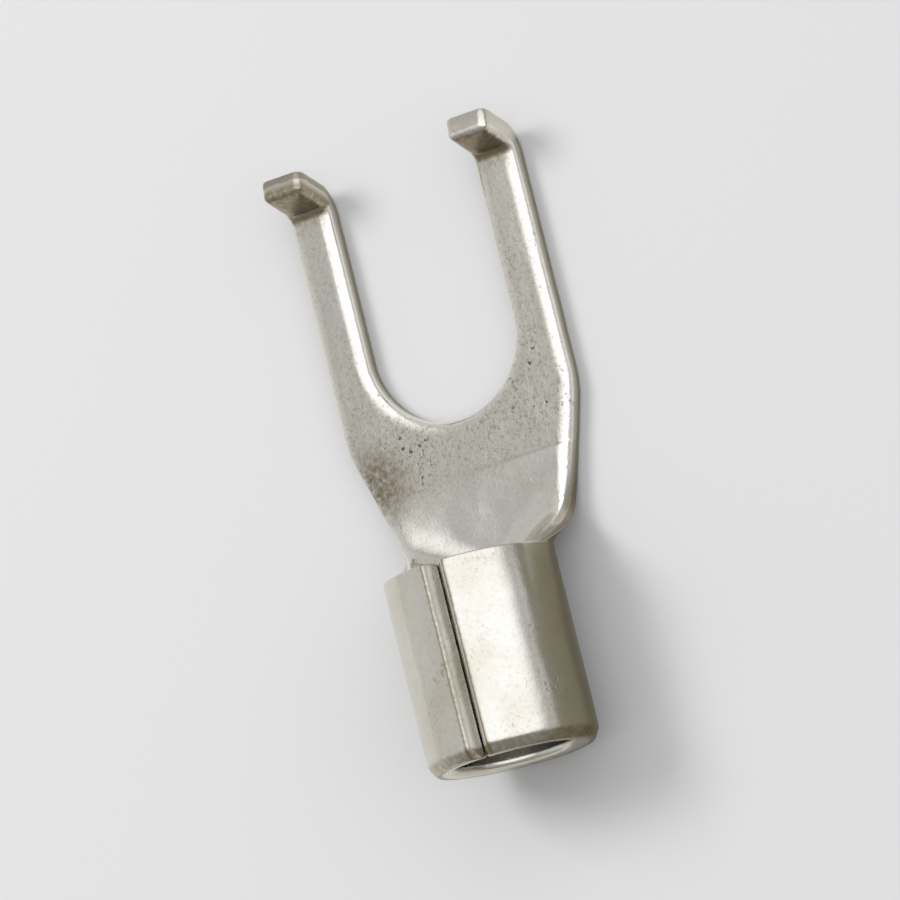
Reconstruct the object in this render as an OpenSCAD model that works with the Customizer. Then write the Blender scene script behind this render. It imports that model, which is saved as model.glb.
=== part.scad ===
// Un-insulated flanged fork terminal, stamped, rolled and bent from one copper sheet.
// X runs along the barrel's axis towards the fork, Z up from the flat underside to the seam.

/* [Sheet] */
// thickness of the copper sheet
sheet = 0.85; // [0.75:0.05:1]

/* [Wire barrel] */
// inside diameter of the rolled barrel
bore_d = 3.9; // [3.5:0.1:4.2]
// length of the barrel from its mouth to its front edge
barrel_len = 6.4; // [5.6:0.1:7.2]
// size of the bevel that leads the wire into the mouth
mouth_bevel = 0.3; // [0.2:0.05:0.4]
// length of the taper on the mouth's outside
mouth_taper_len = 0.36; // [0.2:0.02:0.5]
// depth of the taper on the mouth's outside
mouth_taper_depth = 0.2; // [0.1:0.02:0.24]
// size of the bevel on the barrel's front edge
front_bevel = 0.12; // [0.06:0.02:0.2]
// width of the seam groove at the barrel's outside
seam_w = 0.6; // [0.4:0.05:0.9]
// width of the seam groove at its root
seam_root_w = 0.12; // [0.06:0.02:0.2]
// depth of the seam groove from the barrel's outside
seam_depth = 0.5; // [0.3:0.05:0.55]
// number of wire-grip grooves round the bore
grip_count = 3; // [1:1:4]
// width of one grip groove
grip_w = 0.4; // [0.3:0.05:0.5]
// depth of one grip groove
grip_depth = 0.12; // [0.06:0.02:0.18]
// distance from one grip groove to the next
grip_pitch = 1.2; // [0.9:0.1:1.4]

/* [Neck] */
// width of the flat blank at the neck, before it is rolled
neck_blank_w = 6; // [5.2:0.1:6.8]
// inside corner radius between the barrel's front edge and the neck
neck_corner_r = 0.9; // [0.6:0.1:1.2]
// distance from the barrel's front edge to the crease where the flat tongue starts
neck_len = 3.15; // [2.6:0.05:3.7]
// how sharply the neck opens next to the barrel, 1 being evenly along its length
neck_opening = 2.5; // [1:0.1:3]
// width of the neck's flat floor where it meets the tongue
neck_floor_w = 2; // [1.4:0.1:2.6]
// share of the opening neck over which its flat floor spreads to that width
neck_floor_share = 0.5; // [0.4:0.05:0.8]
// distance from the barrel's front edge to the start of the shoulders
shoulder_start = 1.2; // [0.8:0.1:1.6]

/* [Tongue and fork] */
// width of the tongue over the tines
tongue_w = 8.3; // [7.6:0.1:9.2]
// width of the slot for the stud
slot_w = 5.3; // [4.3:0.1:5.6]
// distance from the barrel's front edge to the root of the slot
web_len = 4.95; // [4.4:0.05:5.8]
// distance from the root of the slot to the bend at the lips
slot_depth = 7.65; // [6.8:0.05:8.6]
// height of the lips above the tines
lip_rise = 1.6; // [1:0.1:2.4]
// angle by which the tines are bent up into the lips
lip_angle = 75; // [60:1:90]
// inside radius of the bend at the lips
lip_bend_r = 0.25; // [0.2:0.05:0.5]
// corner radius at the top of the lips
lip_corner_r = 0.3; // [0.1:0.05:0.5]

/* [Hidden] */
$fn = 96;
bore_r = bore_d / 2;
barrel_r = bore_r + sheet;
roll_r = bore_r + sheet / 2;
lip_len = (lip_rise - lip_bend_r * (1 - cos(lip_angle))) / sin(lip_angle);
lip_reach = (lip_bend_r + sheet) * sin(lip_angle) + lip_len * cos(lip_angle);
overall_len = barrel_len + web_len + slot_depth + lip_reach;
mouth_x = -overall_len / 2;
front_x = mouth_x + barrel_len;
crease_x = front_x + neck_len;
root_x = front_x + web_len;
bend_x = root_x + slot_depth;
bend_z = sheet + lip_bend_r;
tip_x = bend_x + lip_reach;
lip_top_z = sheet + lip_rise;
neck_half_w = neck_blank_w / 2;
shoulder_slope = (tongue_w / 2 - neck_half_w) / (web_len - shoulder_start);
// length by which the neck runs on inside the barrel's wall and inside the tongue
neck_overlap = 0.5;
// amount by which the neck's faces lie under those of the barrel and the tongue
neck_inset = 0.015;
// length by which a cutter runs past what it cuts
cut_past = 1;
corner_steps = 8;
open_steps = 12;
arc_steps = 36;

// Half width of the flat blank at a distance from the barrel's front edge.
function corner_w(dist) =
    dist >= neck_corner_r ? 0
    : neck_corner_r - sqrt(pow(neck_corner_r, 2) - pow(neck_corner_r - max(dist, 0), 2));
function blank_half_w(dist) =
    neck_half_w + corner_w(dist) + max(dist - shoulder_start, 0) * shoulder_slope;

// The neck opens from the barrel's curvature to none at the crease, while a flat floor spreads in it.
function opened(dist) = min(max(dist / neck_len, 0), 1);
function curvature(dist) = pow(1 - opened(dist), neck_opening) / roll_r;
function eased(share) = share * share * (3 - 2 * share);
function floor_half_w(dist) =
    neck_floor_w / 2 * eased(min(opened(dist) / neck_floor_share, 1));

// Point of the sheet at a station, at a length across the blank and a height from the sheet's middle.
function sheet_point(dist, across, height) =
    let (
        bend = curvature(dist),
        flat_w = min(floor_half_w(dist), abs(across)),
        curl = (abs(across) - flat_w) * bend * 180 / PI
    )
    bend < 0.001
    ? [front_x + dist, across, sheet / 2 + height]
    : [
        front_x + dist,
        sign(across) * (flat_w + (1 / bend - height) * sin(curl)),
        sheet / 2 + 1 / bend - (1 / bend - height) * cos(curl)
    ];

module barrel_section() {
    difference() {
        polygon([
            [bore_r + mouth_bevel, 0],
            [barrel_r - mouth_taper_depth, 0],
            [barrel_r, mouth_taper_len],
            [barrel_r, barrel_len - front_bevel],
            [barrel_r - front_bevel, barrel_len],
            [bore_r, barrel_len],
            [bore_r, mouth_bevel]
        ]);
        for (i = [0 : grip_count - 1])
            translate([
                bore_r - cut_past,
                barrel_len / 2 + (i - (grip_count - 1) / 2) * grip_pitch - grip_w / 2
            ])
                square([cut_past + grip_depth, grip_w]);
    }
}

module seam_groove() {
    translate([mouth_x - cut_past, 0, barrel_r])
        rotate([90, 0, 90])
            linear_extrude(height = barrel_len + 2 * cut_past)
                polygon([
                    [-seam_root_w / 2, barrel_r - seam_depth],
                    [seam_root_w / 2, barrel_r - seam_depth],
                    [seam_w / 2, barrel_r],
                    [seam_w / 2, barrel_r + cut_past],
                    [-seam_w / 2, barrel_r + cut_past],
                    [-seam_w / 2, barrel_r]
                ]);
}

module barrel() {
    difference() {
        translate([mouth_x, 0, barrel_r])
            rotate([0, 90, 0])
                rotate_extrude()
                    barrel_section();
        seam_groove();
    }
}

module neck() {
    stations = concat(
        [-neck_overlap],
        [for (i = [0 : corner_steps]) neck_corner_r * (1 - cos(90 * i / corner_steps))],
        [for (i = [1 : open_steps]) neck_corner_r + (neck_len - neck_corner_r) * i / open_steps],
        [neck_len + neck_overlap]
    );
    half_sheet = sheet / 2 - neck_inset;
    row = arc_steps + 1;
    ring = 2 * row;
    last = len(stations) - 1;
    points = [
        for (dist = stations, height = [-half_sheet, half_sheet], i = [0 : arc_steps])
            sheet_point(dist, (blank_half_w(dist) - neck_inset) * (2 * i / arc_steps - 1), height)
    ];
    under_faces = [
        for (s = [0 : last - 1], i = [0 : arc_steps - 1], half = [0, 1])
            let (a = s * ring + i, b = a + ring)
            half == 0 ? [a, b, b + 1] : [a, b + 1, a + 1]
    ];
    upper_faces = [
        for (s = [0 : last - 1], i = [0 : arc_steps - 1], half = [0, 1])
            let (a = s * ring + row + i, b = a + ring)
            half == 0 ? [a, b + 1, b] : [a, a + 1, b + 1]
    ];
    edge_faces = [
        for (s = [0 : last - 1], i = [0, arc_steps], half = [0, 1])
            let (a = s * ring + i, b = a + ring)
            let (corner = half == 0 ? [a, a + row, b + row] : [a, b + row, b])
            i == 0 ? corner : [corner[2], corner[1], corner[0]]
    ];
    end_faces = [
        for (s = [0, last], i = [0 : arc_steps - 1], half = [0, 1])
            let (a = s * ring + i)
            let (corner = half == 0 ? [a, a + 1, a + row + 1] : [a, a + row + 1, a + row])
            s == 0 ? corner : [corner[2], corner[1], corner[0]]
    ];
    polyhedron(points = points, faces = concat(under_faces, upper_faces, edge_faces, end_faces));
}

module fork_plan() {
    difference() {
        polygon([
            [crease_x, -blank_half_w(neck_len)],
            [root_x, -tongue_w / 2],
            [tip_x, -tongue_w / 2],
            [tip_x, tongue_w / 2],
            [root_x, tongue_w / 2],
            [crease_x, blank_half_w(neck_len)]
        ]);
        translate([root_x + slot_w / 2, 0])
            circle(d = slot_w);
        translate([root_x + slot_w / 2, -slot_w / 2])
            square([slot_depth + lip_reach + cut_past, slot_w]);
    }
}

// The wedge that the bend at the lips turns through, from the bend's centre outwards.
module bend_wedge() {
    far = lip_bend_r + sheet + cut_past;
    polygon([
        [0, 0],
        [0, -far],
        [far * tan(lip_angle / 2), -far],
        [far * sin(lip_angle), -far * cos(lip_angle)]
    ]);
}

// The fork seen from the side, with a sharp fold that is then filled inside and rounded outside.
module fork_profile() {
    fold = tan(lip_angle / 2);
    difference() {
        union() {
            polygon([
                [crease_x, 0],
                [bend_x + (lip_bend_r + sheet) * fold, 0],
                [tip_x, lip_top_z - sheet * cos(lip_angle)],
                [tip_x - sheet * sin(lip_angle), lip_top_z],
                [bend_x + lip_bend_r * fold, sheet],
                [crease_x, sheet]
            ]);
            translate([bend_x, bend_z])
                intersection() {
                    bend_wedge();
                    difference() {
                        circle(r = lip_bend_r + sheet / 2);
                        circle(r = lip_bend_r);
                    }
                }
        }
        translate([bend_x, bend_z])
            difference() {
                bend_wedge();
                circle(r = lip_bend_r + sheet);
            }
    }
}

module lip_corner_cut() {
    translate([-lip_corner_r, -lip_corner_r])
        difference() {
            square(lip_corner_r + cut_past);
            circle(r = lip_corner_r);
        }
}

// Cutters for the lips' corners, in the plane of the bent-up lips.
module lip_corner_cuts() {
    translate([bend_x, 0, bend_z])
        rotate([0, -lip_angle, 0])
            translate([lip_len, 0, -lip_bend_r - sheet - cut_past])
                linear_extrude(height = sheet + 2 * cut_past)
                    for (flip = [0, 1])
                        mirror([0, flip]) {
                            translate([0, tongue_w / 2])
                                lip_corner_cut();
                            translate([0, slot_w / 2])
                                mirror([0, 1])
                                    lip_corner_cut();
                        }
}

module fork() {
    difference() {
        intersection() {
            linear_extrude(height = lip_top_z)
                fork_plan();
            translate([0, tongue_w / 2 + cut_past, 0])
                rotate([90, 0, 0])
                    linear_extrude(height = tongue_w + 2 * cut_past)
                        fork_profile();
        }
        lip_corner_cuts();
    }
}

module fork_terminal() {
    color([0.78, 0.76, 0.7])
        union() {
            barrel();
            neck();
            fork();
        }
}

fork_terminal();
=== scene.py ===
import math
import bmesh
import bpy
from mathutils import Matrix, Vector, noise


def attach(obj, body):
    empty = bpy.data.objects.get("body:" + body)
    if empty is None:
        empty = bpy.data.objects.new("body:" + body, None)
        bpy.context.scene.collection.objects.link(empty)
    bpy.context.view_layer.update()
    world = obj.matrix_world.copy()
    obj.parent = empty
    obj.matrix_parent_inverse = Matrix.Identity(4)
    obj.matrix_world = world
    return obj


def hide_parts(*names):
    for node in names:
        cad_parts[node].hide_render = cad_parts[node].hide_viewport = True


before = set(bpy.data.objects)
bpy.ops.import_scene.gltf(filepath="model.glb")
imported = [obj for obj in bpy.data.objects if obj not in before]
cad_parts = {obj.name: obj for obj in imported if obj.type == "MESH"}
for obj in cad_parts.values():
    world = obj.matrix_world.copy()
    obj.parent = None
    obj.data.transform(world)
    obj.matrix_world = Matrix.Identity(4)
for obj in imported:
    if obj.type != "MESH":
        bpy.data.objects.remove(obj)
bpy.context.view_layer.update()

# The fork terminal is one piece of copper sheet, bright tin plated. It is punched flat, coined at
# the seam, the mouth, the grip grooves and the tongue, then rolled into the barrel, opened at the
# neck and bent up at the tips of the tines. All sizes here are in millimetres.
sheet = 0.85
roll_r = 2.375
barrel_len = 6.4
seam_gap = 0.012
seam_depth = 0.5
seam_slope = 1.8
mouth_taper_len = 0.36
mouth_taper_depth = 0.2
mouth_round_len = 0.3
mouth_round_depth = 0.2
grip_count = 3
grip_w = 0.4
grip_depth = 0.12
grip_pitch = 1.2
neck_half = 3.0
neck_corner_r = 0.9
neck_len = 3.15
neck_opening = 2.5
neck_ease = 0.1
neck_flat = 1.0
neck_flat_share = 0.5
shoulder_start = 1.2
web_len = 4.95
tongue_half = 4.15
struck_depth = 0.04
slot_half = 2.65
slot_depth = 7.65
roll_over_start = 0.4
roll_over_w = 0.42
roll_over_depth = 0.15
lip_rise = 1.6
lip_turn = math.radians(75)
lip_bend_r = 0.25
lip_corner_r = 0.3
wing_corner_r = 0.14
shoulder_r = 0.5
punch_side_r = 0.16
die_side_r = 0.09
fracture_top = 0.35
dent_wide = 0.008
dent_fine = 0.004

half_girth = math.pi * roll_r - seam_gap
lip_len = (lip_rise - lip_bend_r * (1 - math.cos(lip_turn))) / math.sin(lip_turn)
lip_reach = (lip_bend_r + sheet) * math.sin(lip_turn) + lip_len * math.cos(lip_turn)
mouth_x = -(barrel_len + web_len + slot_depth + lip_reach) / 2
front_x = mouth_x + barrel_len
crease_x = front_x + neck_len
root_x = front_x + web_len
slot_centre_x = root_x + slot_half
bend_x = root_x + slot_depth
bend_len = (lip_bend_r + sheet / 2) * lip_turn
blank_tip_x = bend_x + bend_len + lip_len

# The punch walks round one half of the flat blank.
blank = bmesh.new()


def cut_to(corner, x, y):
    """Cuts straight on from a corner of the blank."""
    end = bmesh.ops.extrude_vert_indiv(blank, verts=[corner])["verts"][0]
    end.co = (x, y, 0)
    return end


def cut_round(corner, centre_x, centre_y, steps):
    """Cuts on from a corner round a quarter circle."""
    turned = bmesh.ops.spin(blank, geom=[corner], cent=(centre_x, centre_y, 0), axis=(0, 0, 1),
                            angle=math.pi / 2, steps=steps)
    return [part for part in turned["geom_last"] if isinstance(part, bmesh.types.BMVert)][0]


mouth_middle = bmesh.ops.create_vert(blank, co=(mouth_x, 0, 0))["vert"][0]
mouth_corner = cut_to(mouth_middle, mouth_x, half_girth)
front_corner = cut_to(mouth_corner, front_x, half_girth)
wing_foot = cut_to(front_corner, front_x, neck_half + neck_corner_r)
neck_edge = cut_round(wing_foot, front_x + neck_corner_r, neck_half + neck_corner_r, 12)
shoulder_foot = cut_to(neck_edge, front_x + shoulder_start, neck_half)
shoulder = cut_to(shoulder_foot, root_x, tongue_half)
tip_outside = cut_to(shoulder, blank_tip_x, tongue_half)
tip_inside = cut_to(tip_outside, blank_tip_x, slot_half)
slot_side = cut_to(tip_inside, slot_centre_x, slot_half)
slot_root = cut_round(slot_side, slot_centre_x, 0, 24)
cut_to(slot_root, mouth_x, 0)
rounded_corners = (((tip_outside, tip_inside), lip_corner_r, 6),
                   ((mouth_corner, front_corner), wing_corner_r, 4),
                   ((shoulder, shoulder_foot), shoulder_r, 4))
for corners, radius, steps in rounded_corners:
    bmesh.ops.bevel(blank, geom=corners, offset=radius, segments=steps, profile=0.5, affect="VERTICES",
                    material=-1)
bmesh.ops.remove_doubles(blank, verts=blank.verts[:], dist=0.0005)
bmesh.ops.contextual_create(blank, geom=blank.edges[:])
bmesh.ops.mirror(blank, geom=blank.verts[:] + blank.edges[:] + blank.faces[:], axis="Y", merge_dist=0.0005)
bmesh.ops.remove_doubles(blank, verts=blank.verts[:], dist=0.0005)
bmesh.ops.recalc_face_normals(blank, faces=blank.faces[:])
bmesh.ops.solidify(blank, geom=blank.faces[:], thickness=sheet)
lowest = min(vert.co.z for vert in blank.verts)
bmesh.ops.translate(blank, verts=blank.verts[:], vec=(0, 0, -lowest))
bmesh.ops.recalc_face_normals(blank, faces=blank.faces[:])


def rim(z):
    """The punched edges of the blank at a height."""
    return [edge for edge in blank.edges if all(abs(vert.co.z - z) < 0.001 for vert in edge.verts)
            and any(abs(face.normal.z) < 0.5 for face in edge.link_faces)]


# The edges on the punch's side are rounder than those on the die's side.
for z, radius, steps in ((sheet, punch_side_r, 4), (0, die_side_r, 3)):
    bmesh.ops.bevel(blank, geom=rim(z), offset=radius, segments=steps, profile=0.5, affect="EDGES",
                    material=-1)

# Lines across and along the blank let it follow the coining, the rolls and the bends, and two lines
# round its cut faces follow the fracture.
edge_steps = (0.02, 0.05, 0.09, 0.14, 0.2, 0.235, 0.255, 0.27, 0.285, 0.3, 0.32, 0.36, 0.42)
roll_lines = 96
across_cuts = [-half_girth + 2 * half_girth * (i + 0.5) / roll_lines for i in range(roll_lines)]
across_cuts = [y for y in across_cuts if abs(y) < half_girth - 0.45]
across_cuts += [side * (half_girth - step) for side in (-1, 1) for step in edge_steps]
across_cuts += [side * (slot_half + 0.1 * i) for side in (-1, 1) for i in range(2, 14)]
along_cuts = [mouth_x + step for step in edge_steps]
along_cuts += [mouth_x + 0.5 + 0.1 * i for i in range(58)]
along_cuts += [front_x + step for step in (-0.16, -0.1, -0.05, -0.02, 0.02)]
along_cuts += [front_x + 0.05 * i for i in range(60)]
along_cuts += [crease_x + 0.03 * i for i in range(-4, 8)]
along_cuts += [crease_x + 0.3 + 0.12 * i for i in range(36)]
along_cuts += [slot_centre_x + 0.4 * i for i in range(12)]
along_cuts += [bend_x + bend_len * i / 12 for i in range(13)]
along_cuts += [bend_x + bend_len + 0.2 * i for i in range(1, 8)]
cuts = [((0, y, 0), (0, 1, 0)) for y in across_cuts]
cuts += [((x, 0, 0), (1, 0, 0)) for x in sorted(set(round(x, 3) for x in along_cuts))]
cuts += [((0, 0, z), (0, 0, 1)) for z in (0.26, 0.46)]
for point, normal in cuts:
    bmesh.ops.bisect_plane(blank, geom=blank.verts[:] + blank.edges[:] + blank.faces[:], dist=0.002,
                           plane_co=point, plane_no=normal)


def share(value):
    """Keeps a value between none and all."""
    return min(max(value, 0), 1)


def eased(depth, softness):
    """A depth that runs out softly where it reaches nothing."""
    return (depth + math.sqrt(depth * depth + softness)) / 2


def from_edge(x, y):
    """Distance of a point of the flat fork from the punched edge next to it."""
    if x < front_x + shoulder_start:
        outside = neck_half - y
    elif x < root_x:
        slant = (tongue_half - neck_half) / (web_len - shoulder_start)
        outside = (neck_half + slant * (x - front_x - shoulder_start) - y) / math.hypot(1, slant)
    else:
        outside = tongue_half - y
    inside = y - slot_half if x > slot_centre_x else math.hypot(x - slot_centre_x, y) - slot_half
    return max(min(outside, inside, blank_tip_x - x), 0)


# What each tool leaves on the surface: the struck face of the tongue and the sheared edges. Soil with painted
# shade on the lips, a dark band painted at the mouth and a dark line along the seam; rims that tumbling
# rubbed bright, painted lighter still as a highlight. The struck face starts sharply at both ends of the
# crease, fades in along its middle, and is smoother on the tines.
coined = blank.verts.layers.float.new("coined")
sheared = blank.verts.layers.float.new("sheared")
soil_and_shade = blank.verts.layers.float.new("soil_and_shade")
rubbed_and_highlight = blank.verts.layers.float.new("rubbed_and_highlight")
for vert in blank.verts:
    along, across, height = vert.co
    if die_side_r - 0.01 < height < sheet - punch_side_r - 0.03:
        vert[sheared] = 1.0 if height < fracture_top else 0.5
    if height > sheet - punch_side_r + 0.01:
        sheltered = share(from_edge(along, abs(across)) / roll_over_w)
        fade = 0.05 + 0.9 * math.exp(-((across - 0.6) / 1.5) ** 2)
        smoother = 0.55 * share((along - root_x - 1.0) / 2.5)
        vert[coined] = share((along - crease_x) / fade + 1) * sheltered * (1 - smoother)
        # Inside the lips: some soil, and painted shade where the inner faces mirror dark surroundings.
        vert[soil_and_shade] = share((along - bend_x + 0.2) / 0.4) * share(2 * sheltered)
        # Rims within the roll-over: rubbed bright tin, painted lighter still as a painted highlight.
        if along > front_x + roll_over_start:
            vert[rubbed_and_highlight] = 1 - sheltered
    # The left lip is painted darker all over, as painted shade.
    if along > bend_x + 0.5 * bend_len:
        if across > 0:
            vert[soil_and_shade] = 0.85
        else:
            # The cut faces of the right lip are painted lighter, as a painted highlight.
            vert[sheared] *= 0.4
    # A dark band painted at the mouth end as painted shade, and a dark line painted along the top edge of the
    # seam's groove.
    if height < 0.15:
        vert[soil_and_shade] = 0.6 * share((mouth_x + mouth_taper_len + 0.08 - along) / 0.16)
        if along < front_x:
            from_seam = half_girth - abs(across)
            vert[soil_and_shade] += 0.8 * math.exp(-((from_seam - 0.3) / 0.055) ** 2)

# Coining in the flat: flanks of the seam, taper and rounding of the mouth, grip grooves, the
# drawn-in upper edges of the fork, and the tongue struck down a little below the neck, in a step
# that is steep at the right end of the crease and runs out to the left.
grip_places = [(mouth_x + front_x) / 2 + (i - (grip_count - 1) / 2) * grip_pitch for i in range(grip_count)]
for vert in blank.verts:
    along, across = vert.co.x, abs(vert.co.y)
    low, high = 0, sheet
    if along < front_x + 0.001:
        from_mouth = max(along - mouth_x, 0)
        low += eased(seam_depth - seam_slope * max(half_girth - across, 0), 0.0012)
        taper = mouth_taper_depth * (1 - from_mouth / mouth_taper_len)
        low += eased(taper, 0.0008) * (1 - low / sheet)
        inward = share(from_mouth / mouth_round_len)
        high -= mouth_round_depth * (1 - math.sqrt(1 - (1 - inward) ** 2))
        if any(abs(along - grip_x) < grip_w / 2 - 0.01 for grip_x in grip_places):
            high -= grip_depth
    if along > front_x + roll_over_start:
        drawn_in = max(1 - from_edge(along, across) / roll_over_w, 0)
        high -= roll_over_depth * drawn_in ** 2 * share((along - front_x - roll_over_start) / 2.2)
    struck_run = 0.1 + 0.12 * max(vert.co.y + 1.5, 0)
    high -= struck_depth * share((along - crease_x) / struck_run + 0.5)
    vert.co.z = low + (high - low) * vert.co.z / sheet

# Rolling and bending: each point of the flat blank goes to its place on the formed sheet.
for vert in blank.verts:
    along, across, height = vert.co.x, vert.co.y, vert.co.z - sheet / 2
    dist = along - front_x
    opened = min(dist * dist / (dist + neck_ease) / neck_len, 1) if dist > 0 else 0
    spread = min(opened / neck_flat_share, 1)
    flat_to = neck_flat * spread * spread * (3 - 2 * spread)
    bend = (1 - opened) ** neck_opening / roll_r
    x, y, z = along, abs(across), sheet / 2
    curl = 0
    if bend > 1e-4 and y > flat_to:
        curl = (y - flat_to) * bend
        y = flat_to + math.sin(curl) / bend
        z += (1 - math.cos(curl)) / bend
    y = math.copysign(y - height * math.sin(curl), across)
    z += height * math.cos(curl)
    if along > bend_x:
        turn = min((along - bend_x) / bend_len, 1) * lip_turn
        arm = lip_bend_r + sheet / 2 - height
        past = max(along - bend_x - bend_len, 0)
        x = bend_x + arm * math.sin(turn) + past * math.cos(turn)
        z = sheet + lip_bend_r - arm * math.cos(turn) + past * math.sin(turn)
    vert.co = (x, y, z)

# Tumbling leaves the faces slightly uneven. It only takes away, so the sheet never grows.
blank.normal_update()
dents = []
for vert in blank.verts:
    depth = dent_wide * (1 - noise.noise(vert.co * 1.1)) + dent_fine * (1 - noise.noise(vert.co * 3.1))
    dents.append(vert.normal * depth)
for vert, dent in zip(blank.verts, dents):
    vert.co -= dent
bmesh.ops.scale(blank, verts=blank.verts[:], vec=(0.001, 0.001, 0.001))
for face in blank.faces:
    face.smooth = True
terminal_mesh = bpy.data.meshes.new("fork_terminal_sheet")
blank.to_mesh(terminal_mesh)
blank.free()
terminal = bpy.data.objects.new("fork_terminal_sheet", terminal_mesh)
bpy.context.scene.collection.objects.link(terminal)


def linear(hex_colour):
    """An sRGB hex colour as the linear colour that the shaders take."""
    parts = [int(hex_colour[i:i + 2], 16) / 255 for i in (0, 2, 4)]
    return [part / 12.92 if part <= 0.04045 else ((part + 0.055) / 1.055) ** 2.4 for part in parts] + [1.0]


def per_mm(size):
    """Pattern scale for a feature of so many millimetres."""
    return 1000.0 / size


# Bright tin plate after tumbling: a satin mirror with warm blotches, a peppered matt face where the tongue
# was struck, white rims that are partly a painted highlight, a brown stain, and brown soil with painted shade
# where nothing rubs.
tin = bpy.data.materials.new("bright_tin_plate_tumbled")
tin.use_nodes = True
tree = tin.node_tree
shader = tree.nodes["Principled BSDF"]


def add(kind, give, inputs, **settings):
    """Adds a node to the tree in hand, with its settings and links, and gives one of its outputs."""
    made = tree.nodes.new("ShaderNode" + kind)
    for name, value in settings.items():
        setattr(made, name, value)
    for name, value in inputs.items():
        if isinstance(value, bpy.types.NodeSocket):
            tree.links.new(value, made.inputs[name])
        else:
            made.inputs[name].default_value = value
    return made.outputs[give]


place = add("TexCoord", "Object", {})
coined_mask = add("Attribute", "Fac", {}, attribute_name="coined")
sheared_mask = add("Attribute", "Fac", {}, attribute_name="sheared")
soil_and_shade_mask = add("Attribute", "Fac", {}, attribute_name="soil_and_shade")
rubbed_and_highlight_mask = add("Attribute", "Fac", {}, attribute_name="rubbed_and_highlight")

# Blotches a few millimetres wide where the plating is warmer and duller.
blotch = add("TexNoise", "Fac", {"Vector": place, "Scale": per_mm(2.2), "Detail": 3.0, "Roughness": 0.6})
blotch_on = add("MapRange", "Result", {"Value": blotch, "From Min": 0.42, "From Max": 0.68})
warm = add("Mix", "Result", {"Factor": blotch_on, "A": linear("d9d8d4"), "B": linear("d0ccc2")},
           data_type="RGBA")
# The struck face is greyer, with an orange peel.
peel = add("TexNoise", "Fac", {"Vector": place, "Scale": per_mm(0.15), "Detail": 3.0, "Roughness": 0.6})
struck = add("Mix", "Result", {"Factor": coined_mask, "A": warm, "B": linear("c6c4bd")}, data_type="RGBA")
# The rounded rims are rubbed bright, and painted lighter still as a painted highlight.
rubbed_and_highlit_rims = add("Mix", "Result", {"Factor": rubbed_and_highlight_mask, "A": struck, "B": linear("f0efec")}, data_type="RGBA")
# A brown stain at the left end of the crease.
stain_at = (-0.0002, 0.0034, 0.00085)
stain_from = add("VectorMath", "Value", {0: place, 1: stain_at}, operation="DISTANCE")
stain_near = add("MapRange", "Result", {"Value": stain_from, "From Min": 0.0019, "From Max": 0.0003},
                 interpolation_type="SMOOTHSTEP")
stain_grain = add("MapRange", "Result", {"Value": peel, "From Min": 0.3, "From Max": 0.7,
                                         "To Min": 0.2, "To Max": 0.95})
stain = add("Math", "Value", {0: stain_near, 1: stain_grain}, operation="MULTIPLY")
stained = add("Mix", "Result", {"Factor": stain, "A": rubbed_and_highlit_rims, "B": linear("6e5f40")}, data_type="RGBA")
# Fine dark speckle, denser in patches and on the struck face.
patch = add("TexNoise", "Fac", {"Vector": place, "Scale": per_mm(2.0), "Detail": 2.0, "Roughness": 0.5})
struck_share = add("MapRange", "Result", {"Value": coined_mask, "To Min": 0.3, "To Max": 1.0})
speck = add("TexNoise", "Fac", {"Vector": place, "Scale": per_mm(0.12), "Detail": 2.0, "Roughness": 0.7})
speck_on = add("MapRange", "Result", {"Value": speck, "From Min": 0.5, "From Max": 0.74})
speck_patch = add("MapRange", "Result", {"Value": patch, "From Min": 0.35, "From Max": 0.65,
                                         "To Min": 0.25, "To Max": 0.85})
speck_share = add("Math", "Value", {0: speck_patch, 1: struck_share}, operation="MULTIPLY")
specks = add("Math", "Value", {0: speck_on, 1: speck_share}, operation="MULTIPLY")
speckled = add("Mix", "Result", {"Factor": specks, "A": stained, "B": linear("847d6d")}, data_type="RGBA")
# Brown soil and painted shade, with a ragged edge: darker lip faces, a whole darker left lip, a band at the
# mouth and a line along the seam.
soil_and_shade_grain = add("MapRange", "Result", {"Value": peel, "From Min": 0.3, "From Max": 0.7,
                                        "To Min": -0.22, "To Max": 0.22})
soil_and_shade_patch = add("Math", "Value", {0: soil_and_shade_mask, 1: soil_and_shade_grain}, operation="ADD")
soil_and_shade_share = add("MapRange", "Result", {"Value": soil_and_shade_patch, "From Min": 0.0, "From Max": 1.15},
           interpolation_type="SMOOTHSTEP")
soil_and_shade_over = add("Mix", "Result", {"Factor": soil_and_shade_share, "A": speckled, "B": linear("8d826a")}, data_type="RGBA")
# The cut faces: a burnished band under the rounded edge, and a ragged grey fracture below it.
burnish = add("MapRange", "Result", {"Value": sheared_mask, "From Min": 0.1, "From Max": 0.5})
burnished = add("Mix", "Result", {"Factor": burnish, "A": soil_and_shade_over, "B": linear("c2bfb6")}, data_type="RGBA")
rag = add("Math", "Value", {0: peel, 1: 0.5, 2: sheared_mask}, operation="MULTIPLY_ADD")
fracture = add("MapRange", "Result", {"Value": rag, "From Min": 0.96, "From Max": 1.06})
broken = add("Mix", "Result", {"Factor": fracture, "A": burnished, "B": linear("9f998c")}, data_type="RGBA")
# Dark pits, in the same patches as the speckle.
pit = add("TexNoise", "Fac", {"Vector": place, "Scale": per_mm(0.2), "Detail": 2.0, "Roughness": 0.5})
pit_limit = add("MapRange", "Result", {"Value": patch, "From Min": 0.4, "From Max": 0.7,
                                       "To Min": 0.76, "To Max": 0.58})
pit_over = add("Math", "Value", {0: pit, 1: pit_limit}, operation="SUBTRACT")
pit_on = add("MapRange", "Result", {"Value": pit_over, "From Min": 0.0, "From Max": 0.12})
pits = add("Math", "Value", {0: pit_on, 1: struck_share}, operation="MULTIPLY")
pitted = add("Mix", "Result", {"Factor": pits, "A": broken, "B": linear("5f584a")}, data_type="RGBA")
tree.links.new(pitted, shader.inputs["Base Color"])
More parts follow.
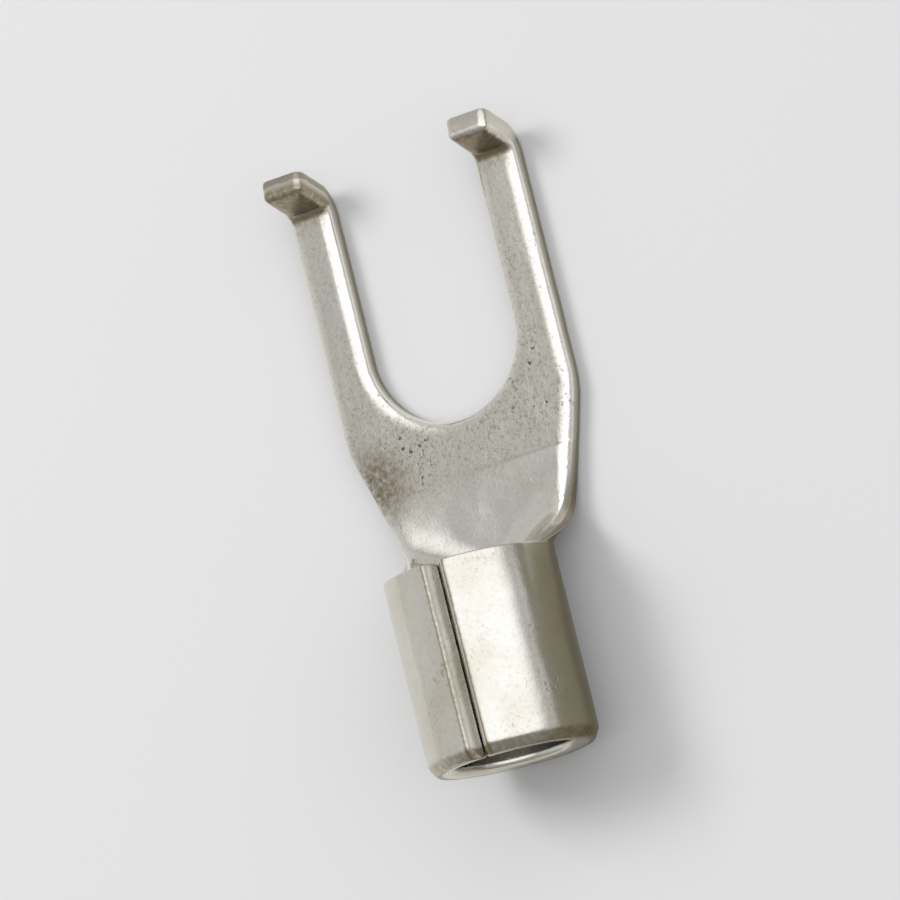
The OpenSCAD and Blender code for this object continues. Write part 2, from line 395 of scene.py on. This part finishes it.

# Dullness: streaks along the sheet from the rolls, more on the struck face, where soil and painted shade lie,
# and on the fracture.
drawn = add("VectorMath", "Vector", {0: place, 1: (0.04, 1.0, 1.0)}, operation="MULTIPLY")
streak = add("TexNoise", "Fac", {"Vector": drawn, "Scale": per_mm(0.14), "Detail": 2.0, "Roughness": 0.6})
shine = add("MapRange", "Result", {"Value": blotch, "From Min": 0.3, "From Max": 0.7,
                                   "To Min": 0.1, "To Max": 0.19})
streaked = add("Math", "Value", {0: streak, 1: 0.06, 2: shine}, operation="MULTIPLY_ADD")
struck_dull = add("Math", "Value", {0: coined_mask, 1: 0.08, 2: streaked}, operation="MULTIPLY_ADD")
soil_and_shade_dull = add("Math", "Value", {0: soil_and_shade_share, 1: 0.14, 2: struck_dull}, operation="MULTIPLY_ADD")
cut_dull = add("Math", "Value", {0: fracture, 1: 0.16, 2: soil_and_shade_dull}, operation="MULTIPLY_ADD")
tree.links.new(cut_dull, shader.inputs["Roughness"])

# Relief: the streaks, the orange peel, the grain of the plating and the pits. The real grain is too
# fine to show, so it is drawn as coarse as it needs to show.
grain = add("TexNoise", "Fac", {"Vector": place, "Scale": per_mm(0.06), "Detail": 2.0, "Roughness": 0.6})
streak_relief = add("MapRange", "Result", {"Value": coined_mask, "To Min": 0.04, "To Max": 0.0})
peel_relief = add("MapRange", "Result", {"Value": coined_mask, "To Min": 0.06, "To Max": 0.2})
relief = add("Bump", "Normal", {"Height": streak, "Strength": streak_relief, "Distance": 0.00003})
relief = add("Bump", "Normal", {"Height": peel, "Strength": peel_relief, "Distance": 0.00004,
                                "Normal": relief})
relief = add("Bump", "Normal", {"Height": grain, "Strength": 0.25, "Distance": 0.00001, "Normal": relief})
relief = add("Bump", "Normal", {"Height": pits, "Strength": 0.6, "Distance": 0.00003, "Normal": relief},
             invert=True)
tree.links.new(relief, shader.inputs["Normal"])
shader.inputs["Metallic"].default_value = 1.0
terminal_mesh.materials.append(tin)
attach(terminal, "root")
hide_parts("fork_terminal")

# The floor is a plain pale table top that the terminal lies on. Bright metal needs something dark
# to mirror, so in reflections only the table is darker at the right of the barrel and further out.
floor_form = bmesh.new()
bmesh.ops.create_grid(floor_form, x_segments=1, y_segments=1, size=1.5)
floor_mesh = bpy.data.meshes.new("floor")
floor_form.to_mesh(floor_mesh)
floor_form.free()
floor = bpy.data.objects.new("floor", floor_mesh)
bpy.context.scene.collection.objects.link(floor)

# A matt pale glaze that keeps a soft shadow.
pale = bpy.data.materials.new("pale_glazed_table")
pale.use_nodes = True
tree = pale.node_tree
glaze = tree.nodes["Principled BSDF"]
mirror_ray = add("LightPath", "Is Glossy Ray", {})
table_place = add("TexCoord", "Object", {})
table_x = add("SeparateXYZ", "X", {"Vector": table_place})
table_y = add("SeparateXYZ", "Y", {"Vector": table_place})
beside = add("MapRange", "Result", {"Value": table_x, "From Min": 0.0, "From Max": -0.004},
             interpolation_type="SMOOTHSTEP")
right_of = add("MapRange", "Result", {"Value": table_y, "From Min": 0.001, "From Max": -0.004},
               interpolation_type="SMOOTHSTEP")
near_dark = add("Math", "Value", {0: beside, 1: right_of}, operation="MULTIPLY")
far_dark = add("MapRange", "Result", {"Value": table_y, "From Min": -0.008, "From Max": -0.02},
               interpolation_type="SMOOTHSTEP")
dark = add("Math", "Value", {0: near_dark, 1: far_dark}, operation="MAXIMUM")
mirrored = add("Mix", "Result", {"Factor": dark, "A": linear("c8c7c3"), "B": linear("746f5e")},
               data_type="RGBA")
seen = add("Mix", "Result", {"Factor": mirror_ray, "A": linear("c4c5c8"), "B": mirrored}, data_type="RGBA")
tree.links.new(seen, glaze.inputs["Base Color"])
glaze.inputs["Roughness"].default_value = 0.55
glaze.inputs["Specular IOR Level"].default_value = 0.15
floor_mesh.materials.append(pale)

# The light is a pale room, brightest high up on the fork's right and dim behind the barrel's mouth,
# and one soft lamp on the fork's left. The lamp isn't mirrored in the metal: it is there for the
# soft shadow on the table.
aim = Vector((0.0, 0.0, 0.002))
lamp_light = bpy.data.lights.new("soft_lamp", "AREA")
lamp_light.shape = "SQUARE"
lamp_light.size = 0.14
lamp_light.energy = 0.75
lamp_light.color = linear("fffdf8")[:3]
lamp = bpy.data.objects.new("soft_lamp", lamp_light)
bpy.context.scene.collection.objects.link(lamp)
lamp_from = Vector((0.4, 0.45, 0.8)).normalized()
lamp.location = aim + lamp_from * 0.35
lamp.rotation_euler = lamp_from.to_track_quat("Z", "Y").to_euler()
lamp.visible_glossy = False
lamp.visible_camera = False

room = bpy.data.worlds.new("pale_room")
room.use_nodes = True
tree = room.node_tree
walls = tree.nodes["Background"]
look = add("TexCoord", "Generated", {})
facing = add("VectorMath", "Value", {0: look, 1: (0.2, -0.45, 0.87)}, operation="DOT_PRODUCT")
from_back = add("MapRange", "Result", {"Value": facing, "From Min": -1.0, "From Max": 1.0})
brightness = add("ValToRGB", "Color", {"Fac": from_back})
steps = [(0.0, 0.98, "d9d7d0"), (0.5, 0.98, "dedcd6"), (0.64, 0.88, "e2e1dd"), (0.766, 0.9, "e6e4e0"),
         (0.817, 0.62, "e6e5e2"), (0.87, 1.15, "fffefb"), (0.91, 1.48, "ffffff")]
ramp = brightness.node.color_ramp
while len(ramp.elements) < len(steps):
    ramp.elements.new(0.5)
for element, (at, level, colour) in zip(ramp.elements, steps):
    element.position = at
    element.color = [level * part for part in linear(colour)[:3]] + [1.0]
tree.links.new(brightness, walls.inputs["Color"])
look_x = add("SeparateXYZ", "X", {"Vector": look})
dim_end = add("MapRange", "Result", {"Value": look_x, "From Min": -0.2, "From Max": -0.75,
                                     "To Min": 1.0, "To Max": 0.55}, interpolation_type="SMOOTHSTEP")
tree.links.new(dim_end, walls.inputs["Strength"])
bpy.context.scene.world = room

# The camera looks down from above, leaning to the fork's right and a little towards the barrel's
# mouth, with a long lens and the fork pointing up the picture.
lens = bpy.data.cameras.new("camera")
lens.lens = 360
lens.sensor_width = 36
lens.clip_start = 0.01
lens.clip_end = 10
camera = bpy.data.objects.new("camera", lens)
bpy.context.scene.collection.objects.link(camera)
camera_at = Vector((-0.0459, -0.1145, 0.2608))
camera_up = Vector((0.9592, -0.2792, 0.0335))
out = (camera_at - aim).normalized()
right = camera_up.cross(out).normalized()
up = out.cross(right)
camera.matrix_world = Matrix.Translation(camera_at) @ Matrix((right, up, out)).transposed().to_4x4()
bpy.context.scene.camera = camera
bpy.context.scene.view_settings.view_transform = "Standard"
